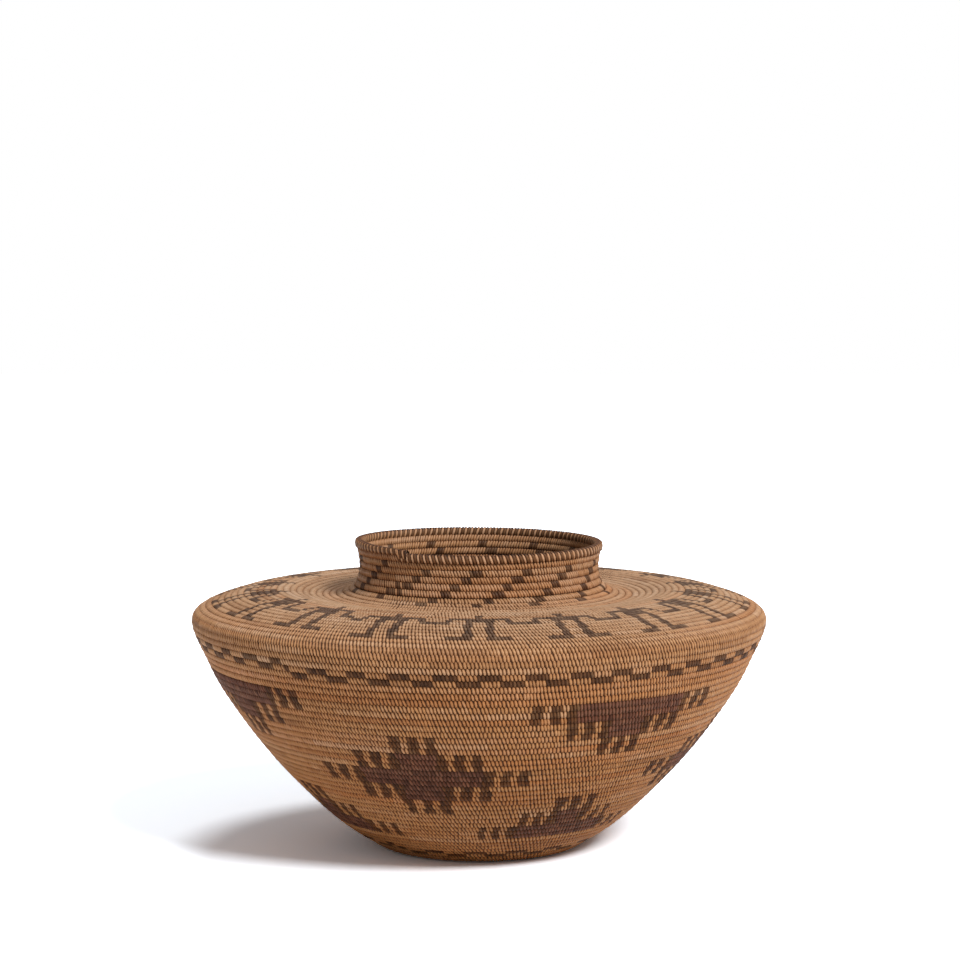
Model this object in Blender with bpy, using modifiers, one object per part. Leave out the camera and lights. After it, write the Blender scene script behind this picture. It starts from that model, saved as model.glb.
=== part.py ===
# Coiled bottleneck basket.
# One grass bundle winds in a spiral from a starting knot, out over the flat base, up the
# flaring wall, in over the shoulder and up the neck to the rim. Split root strands sew each
# course to the one before it: pale sedge for the ground, dark bracken and red-brown redbud
# for the motifs. The foundation lies inside and the sewing covers it as a thin skin.
# Metres, +Z up, the origin at the middle of the flat base.

import math

import bmesh
import bpy
from mathutils import Vector

# Outline of the outer face, from the edge of the flat base to the top of the neck
BASE_RADIUS = 0.0518
WIDEST_RADIUS = 0.1520
WIDEST_HEIGHT = 0.1246
SHOULDER_RISE = 0.0112
THROAT_RADIUS = 0.0644
NECK_FOOT_SPREAD = 0.0081
NECK_TOP_SPREAD = 0.0009
NECK_HEIGHT = 0.0242

# The curve between them: shares from the base to the widest turn for the wall, from the
# widest turn to the foot of the neck for the shoulder, and from foot to top for the neck
HEEL_RADIUS_SHARE = 0.116
HEEL_HEIGHT_SHARE = 0.047
LOWER_WALL_RADIUS_SHARE = 0.480
LOWER_WALL_HEIGHT_SHARE = 0.300
MIDDLE_WALL_RADIUS_SHARE = 0.7375
MIDDLE_WALL_HEIGHT_SHARE = 0.550
UPPER_WALL_RADIUS_SHARE = 0.925
UPPER_WALL_HEIGHT_SHARE = 0.800
BROW_RADIUS_SHARE = 0.234
BROW_HEIGHT_SHARE = 0.786
SHOULDER_RADIUS_SHARE = 0.565
SHOULDER_HEIGHT_SHARE = 1.107
NECK_FLARE_RADIUS_SHARE = 0.654
NECK_FLARE_HEIGHT_SHARE = 0.112
THROAT_HEIGHT_SHARE = 0.380

# Coil and sewing
SEWING_THICKNESS = 0.0008
FOUNDATION_THICKNESS = 0.0025
FIT_GAP = 0.0003
STITCH_PITCH = 0.00178
KNOT_RADIUS = 0.0042
SEAM_ANGLE = math.radians(-40)

# Neck coil and rim coil, which are wound as open tubes
NECK_PITCH = 0.00345
NECK_TUBE_RADIUS = 0.00150
NECK_LOOPS = 7
RIM_TUBE_RADIUS = 0.00247
RIM_END_RADIUS = 0.00180
RIM_TAPER_SHARE = 0.10
RIM_INSET = 0.0004

# Courses counted from the middle of the base to the edges of each band
BASE_EDGE_COURSE = 14
BASE_DASH_COURSE = 17
HEEL_EDGE_COURSE = 20
MIDDLE_WALL_COURSE = 36
WALL_DASH_COURSE = 53
BULGE_COURSE = 58
CHAIN_COURSE = 68
NECK_FOOT_COURSE = 80
DASH_COURSES = 2

# Stepped motifs: counts of stitches and courses
LEVEL_COURSES = 3
CORE_STITCHES = 13
STEP_STITCHES = 37
BODY_STITCHES = 41
LOWER_MOTIF_COURSE = 22
MIDDLE_MOTIF_COURSE = 29
UPPER_MOTIF_COURSE = 42
MOTIFS_AROUND = 4
MIDDLE_MOTIF_ANGLE = math.radians(-15)
OUTER_MOTIF_ANGLE = math.radians(29)

# Chain of linked figures on the shoulder, in courses along the outline and stitches across
FIGURES_AROUND = 18
FOOT_COURSES = 1
LEG_COURSES = 5
CHEST_COURSES = 2
ARM_COURSES = 1
CHEST_STITCHES = 9
LEG_STITCHES = 2.5
FOOT_STITCHES = 5

# Fineness of the meshes, in counts
TURN_STEPS = 36
LOOP_POINTS = 24
OUTLINE_STEPS = 40
CORNER_POINTS = 24
PATCH_ROW_COURSES = 3
NEAR_SHARE = 0.01
FLAT_ANGLE = math.radians(1.2)
SHARP_ANGLE = math.radians(40)

# Overrun of the cutters past the faces that they cut
CUT_OVERRUN = 0.0020


def clear_scene():
    for item in list(bpy.data.objects):
        bpy.data.objects.remove(item, do_unlink=True)


def new_collection(name, inside):
    collection = bpy.data.collections.new(name)
    inside.children.link(collection)
    return collection


def material(name, colour, roughness):
    made = bpy.data.materials.new(name)
    made.use_nodes = True
    shader = made.node_tree.nodes["Principled BSDF"]
    shader.inputs["Base Color"].default_value = (*colour, 1)
    shader.inputs["Roughness"].default_value = roughness
    shader.inputs["Metallic"].default_value = 0
    return made


def smooth_stations(stations, first_tangent):
    """Points along one smooth curve through the stations."""
    count = len(stations)
    spans = [(stations[i + 1] - stations[i]).length for i in range(count - 1)]
    slopes = [(stations[i + 1] - stations[i]) / spans[i] for i in range(count - 1)]
    tangents = [first_tangent]
    for i in range(1, count - 1):
        before = spans[i - 1]
        after = spans[i]
        tangents.append((slopes[i - 1] * after + slopes[i] * before) / (before + after))
    tangents.append(slopes[-1])
    points = [stations[0]]
    for i in range(count - 1):
        for step in range(1, OUTLINE_STEPS + 1):
            t = step / OUTLINE_STEPS
            a = stations[i] * (2 * t**3 - 3 * t**2 + 1)
            b = tangents[i] * spans[i] * (t**3 - 2 * t**2 + t)
            c = stations[i + 1] * (3 * t**2 - 2 * t**3)
            d = tangents[i + 1] * spans[i] * (t**3 - t**2)
            points.append(a + b + c + d)
    return points


NECK_FOOT_RADIUS = THROAT_RADIUS + NECK_FOOT_SPREAD
NECK_FOOT_HEIGHT = WIDEST_HEIGHT + SHOULDER_RISE


def wall_station(radius_share, height_share):
    radius = BASE_RADIUS + (WIDEST_RADIUS - BASE_RADIUS) * radius_share
    return Vector((radius, WIDEST_HEIGHT * height_share))


def shoulder_station(radius_share, height_share):
    radius = WIDEST_RADIUS + (NECK_FOOT_RADIUS - WIDEST_RADIUS) * radius_share
    return Vector((radius, WIDEST_HEIGHT + SHOULDER_RISE * height_share))


FLARE_RADIUS = NECK_FOOT_RADIUS - NECK_FOOT_SPREAD * NECK_FLARE_RADIUS_SHARE
BELOW_NECK = [
    Vector((BASE_RADIUS, 0)),
    wall_station(HEEL_RADIUS_SHARE, HEEL_HEIGHT_SHARE),
    wall_station(LOWER_WALL_RADIUS_SHARE, LOWER_WALL_HEIGHT_SHARE),
    wall_station(MIDDLE_WALL_RADIUS_SHARE, MIDDLE_WALL_HEIGHT_SHARE),
    wall_station(UPPER_WALL_RADIUS_SHARE, UPPER_WALL_HEIGHT_SHARE),
    Vector((WIDEST_RADIUS, WIDEST_HEIGHT)),
    shoulder_station(BROW_RADIUS_SHARE, BROW_HEIGHT_SHARE),
    shoulder_station(SHOULDER_RADIUS_SHARE, SHOULDER_HEIGHT_SHARE),
    Vector((NECK_FOOT_RADIUS, NECK_FOOT_HEIGHT)),
]
NECK = [
    Vector((FLARE_RADIUS, NECK_FOOT_HEIGHT + NECK_HEIGHT * NECK_FLARE_HEIGHT_SHARE)),
    Vector((THROAT_RADIUS, NECK_FOOT_HEIGHT + NECK_HEIGHT * THROAT_HEIGHT_SHARE)),
    Vector((THROAT_RADIUS + NECK_TOP_SPREAD, NECK_FOOT_HEIGHT + NECK_HEIGHT)),
]
OUTLINE = [Vector((0, 0))] + smooth_stations(BELOW_NECK + NECK, Vector((1, 0)))
LENGTHS = [0.0]
for first, second in zip(OUTLINE, OUTLINE[1:]):
    LENGTHS.append(LENGTHS[-1] + (second - first).length)
NECK_FOOT_LENGTH = LENGTHS[1 + OUTLINE_STEPS * (len(BELOW_NECK) - 1)]
COIL_PITCH = NECK_FOOT_LENGTH / NECK_FOOT_COURSE
PATCH_ROW = PATCH_ROW_COURSES * COIL_PITCH


def direction_at(index):
    """The outline's direction at one of its points, midway between those beside it."""
    before = OUTLINE[max(index - 1, 0)]
    after = OUTLINE[min(index + 1, len(OUTLINE) - 1)]
    return (after - before).normalized()


def on_outline(length, depth):
    """Radius and height at a length along the outer face, sunk inwards by a depth."""
    low = 0
    high = len(LENGTHS) - 1
    while high - low > 1:
        middle = (low + high) // 2
        if LENGTHS[middle] <= length:
            low = middle
        else:
            high = middle
    share = (length - LENGTHS[low]) / (LENGTHS[high] - LENGTHS[low])
    turned = max(0, min(1, share))
    along = direction_at(low).lerp(direction_at(high), turned).normalized()
    spot = OUTLINE[low].lerp(OUTLINE[high], share)
    return spot + depth * Vector((-along.y, along.x))


def at_angle(spot, angle):
    """A point in space for a radius and height; angle 0 faces -Y and grows towards +X."""
    return Vector((spot.x * math.sin(angle), -spot.x * math.cos(angle), spot.y))


def placed(name, mesh, finish, collection):
    made = bpy.data.objects.new(name, mesh)
    collection.objects.link(made)
    mesh.materials.append(finish)
    mesh.shade_smooth()
    mesh.set_sharp_from_angle(angle=SHARP_ANGLE)
    return made


def coil_band(name, span, rows, layer, finish, rise_in, rise_out):
    """A band of courses between two lengths, each row running one turn of the spiral.

    The first edge climbs by rise_in in its turn and the last by rise_out, so that bands
    butt against each other along the coil and end to end at the seam. The layer gives the
    depths of the band's two faces under the outline.
    """
    start, end = span
    outer_depth, inner_depth = layer
    first = start + FIT_GAP / 2
    last = end - FIT_GAP / 2
    inner_first = first + rise_in
    edges = [first]
    for row in range(rows):
        edges.append(inner_first + (last - inner_first) * row / (rows - 1))
    edges.append(last + rise_out)
    total = (rows + 1) * TURN_STEPS
    sheet = bmesh.new()
    length_of = sheet.verts.layers.float.new("length")
    points = []
    for n in range(total + 1):
        row = min(n // TURN_STEPS, rows)
        turn = n / TURN_STEPS - row
        length = edges[row] + (edges[row + 1] - edges[row]) * turn
        spot = on_outline(length, outer_depth)
        angle = SEAM_ANGLE + 2 * math.pi * turn
        if n == 0 and rise_in > 0:
            angle += FIT_GAP / spot.x
        if n == total and rise_out > 0:
            angle -= FIT_GAP / spot.x
        points.append(sheet.verts.new(at_angle(spot, angle)))
        points[-1][length_of] = length
    for n in range(total - TURN_STEPS):
        corners = (n, n + 1, n + 1 + TURN_STEPS, n + TURN_STEPS)
        sheet.faces.new([points[corner] for corner in corners])
    bmesh.ops.remove_doubles(sheet, verts=sheet.verts[:], dist=FIT_GAP / 10)
    faces = sheet.faces[:]
    grown_out = bmesh.ops.extrude_face_region(sheet, geom=faces, use_keep_orig=True)
    for item in grown_out["geom"]:
        if isinstance(item, bmesh.types.BMVert):
            angle = math.atan2(item.co.x, -item.co.y)
            item.co = at_angle(on_outline(item[length_of], inner_depth), angle)
    bmesh.ops.recalc_face_normals(sheet, faces=sheet.faces[:])
    mesh = bpy.data.meshes.new(name)
    sheet.to_mesh(mesh)
    sheet.free()
    return placed(name, mesh, finish, PARTS)


def sewn_band(name, span, rows, finish, rise_in=COIL_PITCH, rise_out=COIL_PITCH):
    return coil_band(name, span, rows, (0, SEWING_THICKNESS), finish, rise_in, rise_out)


def foundation_band(name, span, rows, finish, rise_in=COIL_PITCH, rise_out=COIL_PITCH):
    outer = SEWING_THICKNESS + FIT_GAP
    layer = (outer, outer + FOUNDATION_THICKNESS)
    return coil_band(name, span, rows, layer, finish, rise_in, rise_out)


def inside_any(blocks, length, angle):
    for low, high, left, right in blocks:
        if low < length < high and left < angle < right:
            return True
    return False


def with_between(values, unit, offset):
    """The sorted values and every offset plus whole units between the first and the last."""
    first = min(values)
    last = max(values)
    step = math.ceil((first - offset) / unit)
    values = set(values)
    while offset + unit * step < last:
        values.add(offset + unit * step)
        step += 1
    lines = []
    for value in sorted(values):
        if not lines or value - lines[-1] > unit * NEAR_SHARE:
            lines.append(value)
    return lines


def on_facet(spot, angle):
    """The spot drawn in to the flat facet that the bands have at this angle."""
    facet = 2 * math.pi / TURN_STEPS
    off_middle = (angle - SEAM_ANGLE) % facet - facet / 2
    return Vector((spot.x * math.cos(facet / 2) / math.cos(off_middle), spot.y))


def near_multiple(value, unit):
    share = value / unit % 1
    return min(share, 1 - share) < NEAR_SHARE


def patch_sheet(name, blocks, depth, rise):
    """The sheet that covers a union of blocks (low, high, left, right) on the outer face.

    The patch climbs with the spiral by rise a turn, counted from the seam to its middle.
    Flat stretches are merged into one face each, but not across a figure's border.
    """
    middle = (min(block[2] for block in blocks) + max(block[3] for block in blocks)) / 2
    whole_turns = math.floor((middle - SEAM_ANGLE) / (2 * math.pi))
    panel = 2 * math.pi / FIGURES_AROUND
    lengths = with_between([v for block in blocks for v in block[:2]], PATCH_ROW, 0)
    turns = [v for block in blocks for v in block[2:]]
    angles = with_between(turns, 2 * math.pi / TURN_STEPS, SEAM_ANGLE)
    sheet = bmesh.new()
    corners = {}

    def corner(i, j):
        if (i, j) not in corners:
            turn = (angles[j] - SEAM_ANGLE) / (2 * math.pi) - whole_turns
            spot = on_outline(lengths[i] + rise * turn, depth)
            spot = on_facet(spot, angles[j])
            corners[i, j] = sheet.verts.new(at_angle(spot, angles[j]))
        return corners[i, j]

    for i in range(len(lengths) - 1):
        for j in range(len(angles) - 1):
            length = (lengths[i] + lengths[i + 1]) / 2
            angle = (angles[j] + angles[j + 1]) / 2
            if inside_any(blocks, length, angle):
                around = ((i, j), (i, j + 1), (i + 1, j + 1), (i + 1, j))
                sheet.faces.new([corner(*place) for place in around])
    bmesh.ops.remove_doubles(sheet, verts=sheet.verts[:], dist=FIT_GAP / 10)
    for edge in sheet.edges:
        ends = [math.atan2(vert.co.x, -vert.co.y) for vert in edge.verts]
        edge.seam = all(near_multiple(end + panel / 2, panel) for end in ends)
    bmesh.ops.dissolve_limit(
        sheet,
        angle_limit=FLAT_ANGLE,
        use_dissolve_boundaries=False,
        verts=sheet.verts[:],
        edges=sheet.edges[:],
        delimit={"SEAM"},
    )
    mesh = bpy.data.meshes.new(name)
    sheet.to_mesh(mesh)
    sheet.free()
    return mesh


def grown(blocks, margin):
    """The blocks made larger by a margin on every side, within one turn in all."""
    first = min(block[2] for block in blocks)
    last = max(block[3] for block in blocks)
    result = []
    for low, high, left, right in blocks:
        turn = margin / on_outline((low + high) / 2, 0).x
        if last - first < 2 * math.pi - 2 * turn:
            result.append((low - margin, high + margin, left - turn, right + turn))
            continue
        left = max(first, left - turn)
        right = min(last, right + turn)
        result.append((low - margin, high + margin, left, right))
    return result


def thicken(sheet, thickness):
    solid = sheet.modifiers.new("Thickness", "SOLIDIFY")
    solid.thickness = thickness
    solid.offset = -1


def cut_with(target, cutters):
    """Cuts all the cutters of a collection out, and merges the points left almost together."""
    cut = target.modifiers.new("Cut", "BOOLEAN")
    cut.operand_type = "COLLECTION"
    cut.collection = cutters
    cut.operation = "DIFFERENCE"
    cut.solver = "EXACT"
    weld = target.modifiers.new("Weld", "WELD")
    weld.merge_threshold = FIT_GAP / 20


def inlay(name, blocks, finish, cutters, rise):
    """A patch of coloured sewing, and the cutter that lets it into the ground sewing."""
    patch = patch_sheet(name, blocks, 0, rise)
    made = placed(name, patch, finish, PARTS)
    thicken(made, SEWING_THICKNESS)
    wider = patch_sheet(name + "_cutter", grown(blocks, FIT_GAP), -CUT_OVERRUN, rise)
    reach = 2 * CUT_OVERRUN + SEWING_THICKNESS
    cutter = placed(name + "_cutter", wider, finish, cutters)
    thicken(cutter, reach)
    cutter.hide_render = True
    cutter.display_type = "WIRE"


def level_block(course, courses, stitches, centre):
    """A block centred on an angle, as wide as its stitches are at the level's middle."""
    low = course * COIL_PITCH
    high = (course + courses) * COIL_PITCH
    radius = on_outline((low + high) / 2, 0).x
    half = stitches * STITCH_PITCH / 2 / radius
    return (low, high, centre - half, centre + half)


def stepped_motif(name, course, widths, centre, finish):
    blocks = []
    for level, stitches in enumerate(widths):
        low = course + level * LEVEL_COURSES
        blocks.append(level_block(low, LEVEL_COURSES, stitches, centre))
    inlay(name, blocks, finish, MOTIF_CUTTERS, COIL_PITCH)


def motif_rings(finish):
    """Four lower, four middle and four upper motifs, the middle ones between the others."""
    rings = (
        ("lower_motif", LOWER_MOTIF_COURSE, (BODY_STITCHES, STEP_STITCHES, CORE_STITCHES),
         OUTER_MOTIF_ANGLE),
        ("middle_motif", MIDDLE_MOTIF_COURSE,
         (CORE_STITCHES, STEP_STITCHES, BODY_STITCHES, STEP_STITCHES, CORE_STITCHES),
         MIDDLE_MOTIF_ANGLE),
        ("upper_motif", UPPER_MOTIF_COURSE, (CORE_STITCHES, STEP_STITCHES, BODY_STITCHES),
         OUTER_MOTIF_ANGLE),
    )
    for name, course, widths, first in rings:
        for k in range(MOTIFS_AROUND):
            centre = first + 2 * math.pi * k / MOTIFS_AROUND
            stepped_motif(f"{name}_{k + 1}", course, widths, centre, finish)


def figure_blocks(centre):
    """One figure of the chain: feet turned out, two legs, chest and half of each arm."""
    foot = CHAIN_COURSE - CHEST_COURSES - LEG_COURSES - FOOT_COURSES
    leg = foot + FOOT_COURSES
    chest = leg + LEG_COURSES
    arm = chest + CHEST_COURSES - ARM_COURSES
    blocks = [level_block(chest, CHEST_COURSES, CHEST_STITCHES, centre)]
    low, high, left, right = level_block(chest, CHEST_COURSES, LEG_STITCHES, centre)
    leg_angle = right - left
    foot_angle = leg_angle * FOOT_STITCHES / LEG_STITCHES
    left = blocks[0][2]
    right = blocks[0][3]
    leg_low = leg * COIL_PITCH
    leg_high = chest * COIL_PITCH
    foot_low = foot * COIL_PITCH
    blocks.append((foot_low, leg_high, left, left + leg_angle))
    blocks.append((foot_low, leg_high, right - leg_angle, right))
    blocks.append((foot_low, leg_low, left + leg_angle - foot_angle, left + leg_angle))
    blocks.append((foot_low, leg_low, right - leg_angle, right - leg_angle + foot_angle))
    reach = math.pi / FIGURES_AROUND
    arm_low = arm * COIL_PITCH
    arm_high = (arm + ARM_COURSES) * COIL_PITCH
    blocks.append((arm_low, arm_high, centre - reach, centre + reach))
    return blocks


def figure_chain(finish):
    blocks = []
    for k in range(FIGURES_AROUND):
        blocks += figure_blocks(2 * math.pi * k / FIGURES_AROUND)
    inlay("figure_chain", blocks, finish, CHAIN_CUTTERS, 0)


def start_knot(finish):
    """The knot of grass in the middle, its edge one turn of the spiral with a step."""
    curve = bpy.data.curves.new("start_knot", "CURVE")
    curve.dimensions = "2D"
    curve.fill_mode = "BOTH"
    thickness = SEWING_THICKNESS + FIT_GAP + FOUNDATION_THICKNESS
    curve.extrude = thickness / 2
    line = curve.splines.new("POLY")
    line.points.add(CORNER_POINTS)
    line.use_cyclic_u = True
    for k, point in enumerate(line.points):
        turn = k / CORNER_POINTS
        radius = KNOT_RADIUS - FIT_GAP / 2 + COIL_PITCH * turn
        angle = SEAM_ANGLE + 2 * math.pi * turn
        if k == 0:
            angle += FIT_GAP / radius
        if k == CORNER_POINTS:
            angle -= FIT_GAP / KNOT_RADIUS
        point.co = (*at_angle(Vector((radius, 0)), angle), 1)
    made = bpy.data.objects.new("start_knot", curve)
    made.location.z = thickness / 2
    curve.materials.append(finish)
    PARTS.objects.link(made)


def tube(name, path, radii, depth, finish):
    curve = bpy.data.curves.new(name, "CURVE")
    curve.dimensions = "3D"
    curve.bevel_depth = depth
    curve.bevel_resolution = 1
    curve.use_fill_caps = True
    line = curve.splines.new("POLY")
    line.points.add(len(path) - 1)
    for point, place, radius in zip(line.points, path, radii):
        point.co = (*place, 1)
        point.radius = radius
    line.use_smooth = True
    made = bpy.data.objects.new(name, curve)
    curve.materials.append(finish)
    PARTS.objects.link(made)
    return made


def least_gap(path, depth, skip):
    """The least gap of a tube to itself, between points more than skip apart on it."""
    least = math.inf
    for i, place in enumerate(path):
        for j in range(i + skip, len(path) - 1):
            along = path[j + 1] - path[j]
            share = max(0, min(1, (place - path[j]).dot(along) / along.length_squared))
            least = min(least, (place - path[j].lerp(path[j + 1], share)).length)
    return least - 2 * depth


NECK_START = NECK_FOOT_LENGTH + FIT_GAP / 2 + NECK_TUBE_RADIUS


def neck_spot(turns):
    """Centre of the neck coil as radius and height after a number of turns."""
    return on_outline(NECK_START + NECK_PITCH * turns, NECK_TUBE_RADIUS)


def neck_coil(finish):
    path = []
    for k in range(NECK_LOOPS * LOOP_POINTS + 1):
        turns = k / LOOP_POINTS
        spot = neck_spot(turns)
        angle = SEAM_ANGLE + 2 * math.pi * turns
        if k == 0:
            angle += FIT_GAP / spot.x
        if k == NECK_LOOPS * LOOP_POINTS:
            angle -= FIT_GAP / spot.x
        path.append(at_angle(spot, angle))
    tube("neck_coil", path, [1] * len(path), NECK_TUBE_RADIUS, finish)
    gap = least_gap(path, NECK_TUBE_RADIUS, LOOP_POINTS // 2)
    print(f"neck_coil: least gap to itself {gap * 1000:.2f} mm")


def rim_coil(finish):
    """The thicker last course, which tapers where its end is bound down at the seam."""
    path = []
    radii = []
    for k in range(LOOP_POINTS + 1):
        turn = k / LOOP_POINTS
        taper = max(0, turn - 1 + RIM_TAPER_SHARE) / RIM_TAPER_SHARE
        radius = RIM_TUBE_RADIUS + (RIM_END_RADIUS - RIM_TUBE_RADIUS) * taper
        below = neck_spot(NECK_LOOPS - 1 + turn)
        rise = NECK_TUBE_RADIUS + FIT_GAP + radius
        spot = Vector((below.x + RIM_INSET, below.y + rise))
        angle = SEAM_ANGLE + 2 * math.pi * turn
        if k == 0:
            angle += FIT_GAP / spot.x
        if k == LOOP_POINTS:
            angle -= FIT_GAP / spot.x
        path.append(at_angle(spot, angle))
        radii.append(radius / RIM_TUBE_RADIUS)
    tube("rim_coil", path, radii, RIM_TUBE_RADIUS, finish)


clear_scene()
PARTS = new_collection("bottleneck_basket", bpy.context.scene.collection)
CUTTERS = new_collection("cutters", bpy.context.scene.collection)
CUTTERS.hide_render = True
MOTIF_CUTTERS = new_collection("motif_cutters", CUTTERS)
CHAIN_CUTTERS = new_collection("chain_cutters", CUTTERS)
GRASS = material("foundation_grass", (0.42, 0.30, 0.13), 0.75)
SEDGE = material("sedge_root", (0.52, 0.29, 0.12), 0.5)
BRACKEN = material("bracken_root", (0.045, 0.03, 0.022), 0.6)
REDBUD = material("redbud_bark", (0.085, 0.03, 0.025), 0.55)

base_edge = BASE_EDGE_COURSE * COIL_PITCH
heel_edge = HEEL_EDGE_COURSE * COIL_PITCH
middle_wall = MIDDLE_WALL_COURSE * COIL_PITCH
base_dash = BASE_DASH_COURSE * COIL_PITCH
base_dash_end = (BASE_DASH_COURSE + DASH_COURSES) * COIL_PITCH
wall_dash = WALL_DASH_COURSE * COIL_PITCH
wall_dash_end = (WALL_DASH_COURSE + DASH_COURSES) * COIL_PITCH
bulge_edge = BULGE_COURSE * COIL_PITCH
arm_edge = (CHAIN_COURSE - ARM_COURSES) * COIL_PITCH
chain_edge = CHAIN_COURSE * COIL_PITCH
inner_span = (chain_edge + FIT_GAP / 2, NECK_FOOT_LENGTH)

start_knot(GRASS)
foundation_band("foundation_base", (KNOT_RADIUS, base_edge), 2, GRASS)
foundation_band("foundation_heel", (base_edge, heel_edge), 3, GRASS)
foundation_band("foundation_lower_wall", (heel_edge, middle_wall), 4, GRASS)
foundation_band("foundation_upper_wall", (middle_wall, wall_dash), 4, GRASS)
foundation_band("foundation_bulge", (wall_dash, bulge_edge), 3, GRASS)
foundation_band("foundation_outer_shoulder", (bulge_edge, chain_edge), 4, GRASS, rise_out=0)
foundation_band("foundation_inner_shoulder", inner_span, 4, GRASS, 0, NECK_PITCH)

sewn_band("sewing_base", (KNOT_RADIUS, base_edge), 2, SEDGE)
sewn_band("sewing_heel", (base_edge, base_dash), 2, SEDGE)
sewn_band("base_dash_courses", (base_dash, base_dash_end), 2, BRACKEN)
wall = sewn_band("sewing_wall", (base_dash_end, wall_dash), 8, SEDGE)
sewn_band("wall_dash_courses", (wall_dash, wall_dash_end), 2, BRACKEN)
sewn_band("sewing_bulge", (wall_dash_end, bulge_edge), 3, SEDGE)
outer_span = (bulge_edge, arm_edge - FIT_GAP / 2)
outer = sewn_band("sewing_outer_shoulder", outer_span, 4, SEDGE, rise_out=0)
sewn_band("sewing_inner_shoulder", inner_span, 4, SEDGE, 0, NECK_PITCH)
motif_rings(REDBUD)
cut_with(wall, MOTIF_CUTTERS)
figure_chain(BRACKEN)
cut_with(outer, CHAIN_CUTTERS)
neck_coil(SEDGE)
rim_coil(BRACKEN)
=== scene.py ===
# Coiled bottleneck basket: every stitch of the sewing, the grass coil that it binds, the
# ticked rim and a plain studio. Metres, +Z up, the origin at the middle of the flat base.
# The sewing is worked from the middle of the base outwards along one spiral. A turn is
# counted from the seam, and turn 0 is where the spiral passes the foot of the neck.

import math

import bmesh
import bpy
import numpy as np
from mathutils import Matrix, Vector


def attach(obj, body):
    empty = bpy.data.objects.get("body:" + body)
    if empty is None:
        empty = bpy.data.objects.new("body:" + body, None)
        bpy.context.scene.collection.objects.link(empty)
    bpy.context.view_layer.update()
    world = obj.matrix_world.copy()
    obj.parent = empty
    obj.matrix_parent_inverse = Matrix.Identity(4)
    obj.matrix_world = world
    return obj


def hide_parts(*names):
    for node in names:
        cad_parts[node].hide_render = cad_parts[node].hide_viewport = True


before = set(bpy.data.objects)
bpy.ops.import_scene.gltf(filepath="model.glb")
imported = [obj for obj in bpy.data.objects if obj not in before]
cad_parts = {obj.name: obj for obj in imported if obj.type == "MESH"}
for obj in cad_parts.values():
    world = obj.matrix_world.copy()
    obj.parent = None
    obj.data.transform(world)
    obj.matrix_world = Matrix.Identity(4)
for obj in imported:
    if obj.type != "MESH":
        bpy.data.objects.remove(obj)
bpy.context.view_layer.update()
RANDOM = np.random.default_rng(7)

# Outline of the outer face, as the solid model has it
BASE_RADIUS = 0.0518
WIDEST_RADIUS = 0.1520
WIDEST_HEIGHT = 0.1246
SHOULDER_RISE = 0.0112
THROAT_RADIUS = 0.0644
NECK_FOOT_SPREAD = 0.0081
NECK_TOP_SPREAD = 0.0009
NECK_HEIGHT = 0.0242
NECK_FOOT_RADIUS = THROAT_RADIUS + NECK_FOOT_SPREAD
NECK_FOOT_HEIGHT = WIDEST_HEIGHT + SHOULDER_RISE

# Its stations as shares: of the way from base to widest turn, from there to the foot of the
# neck, and from foot to top of the neck, each as radius share and height share
WALL_SHARES = ((0.116, 0.047), (0.480, 0.300), (0.7375, 0.550), (0.925, 0.800))
SHOULDER_SHARES = ((0.234, 0.786), (0.565, 1.107))
NECK_SHARES = ((0.654, 0.112), (1, 0.380))
OUTLINE_STEPS = 40

# Coil: the pitch of the courses over the wall, over the shoulder and up the neck
SEAM_ANGLE = math.radians(-40)
WALL_PITCH = 0.00390
SHOULDER_PITCH = 0.003528
NECK_PITCH = 0.00345
WALL_PITCH_END = 0.190
SHOULDER_PITCH_START = 0.205
SPIRAL_START = 0.0008
STEPS_A_TURN = 72
NECK_COURSES = 7

# One stitch: half its thickness through the coil, its width, its lean and its crown, which is
# how far its edges lie below its middle. The crown is lower on the shoulder, and given there
# at lengths along the outline
HALF_THICKNESS = 0.00195
STITCH_WIDTH = 0.00178
WALL_LEAN = 0.20
NECK_LEAN = 0.36
STITCH_CROWN = 0.00078
OUTER_SHOULDER_CROWN = 0.00052
INNER_SHOULDER_CROWN = 0.00045
CROWN_LENGTHS = (0.205, 0.230, 0.290, 0.310)
CROWNS = (STITCH_CROWN, OUTER_SHOULDER_CROWN, INNER_SHOULDER_CROWN, STITCH_CROWN)
STITCH_COVER_SHARE = 0.98
STITCH_NARROW_SHARE = 0.55
COURSE_OVERLAP_SHARE = 1.20
END_SINK_SHARE = 0.2
DRAWN_SHARE = 0.5
MOST_DRAWN_SHARE = 0.09
GRASS_BELOW_STITCHES = 0.00065
GRASS_BELOW_TICKS = 0.0005
GRASS_RISE = 0.00045
GRASS_SIDES = 8
KNOT_RADIUS = 0.0019
KNOT_INSET = 0.0001
SECTION_SQUARENESS = 0.68
ROUND_ANGLES = np.radians((0, 35, 65, 90, 115, 145, 180, 215, 245, 270, 295, 325))
ACROSS_SHARES = np.array((-1, -0.45, 0.45, 1))

# How much one stitch differs from the next, and how its tone and its redness come about
WIDTH_SPREAD = 0.06
LEAN_SPREAD = 0.05
PLACE_SPREAD = 0.00006
THICKNESS_SPREAD = 0.00004
RUN_STITCHES = (8, 26)
RUN_TONE_SPREAD = 0.09
DRIFT_STITCHES = 160
DRIFT_TONE_SPREAD = 0.08
STITCH_TONE_SPREAD = 0.05
DARK_TONE_SPREAD = 0.20
MIDDLE_TONE = 0.5
RED_LONG_STITCHES = 420
RED_SHORT_STITCHES = 60
RED_SHARE = 0.10
RED_LONG_SHARE = 0.20
RED_SHORT_SHARE = 0.15

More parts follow.
